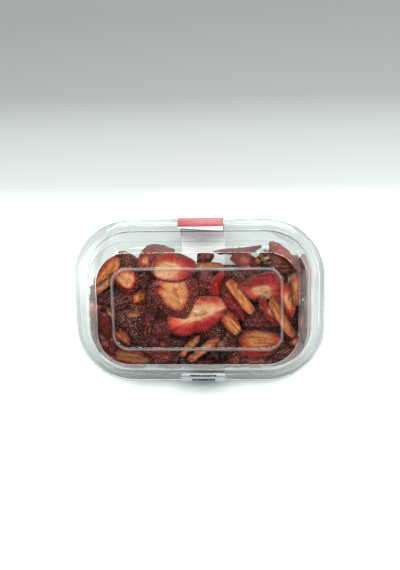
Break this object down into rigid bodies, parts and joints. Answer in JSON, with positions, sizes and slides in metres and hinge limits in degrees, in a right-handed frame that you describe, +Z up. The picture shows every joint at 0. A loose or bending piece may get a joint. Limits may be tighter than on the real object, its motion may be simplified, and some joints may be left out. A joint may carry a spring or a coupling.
{
  "type": "tub of dried strawberry slices",
  "caption": "Shut clear plastic tub with a low-domed snap lid, filled with dried strawberry slices and sealed by a narrow paper strip that wraps right round it",
  "frame": {"origin": "middle of the underside, where the pack stands on its label strip and base", "axes": "+Z up, X along the tub's long side, +Y towards the side where the label's loose red end lies on the rim"},
  "size_m": [0.18, 0.1212, 0.0546],
  "materials": {
    "clear_plastic": "thin clear thermoformed plastic, glossy",
    "dried_fruit": "dried fruit, dark red skins and orange cut faces, satin",
    "label_paper": "coated label paper with a red band at one end"
  },
  "bodies": {
    "root": {"tub": "clear_plastic", "lid": "clear_plastic", "strawberry_slices": "dried_fruit", "label_strip": "label_paper"}
  },
  "joints": []
}
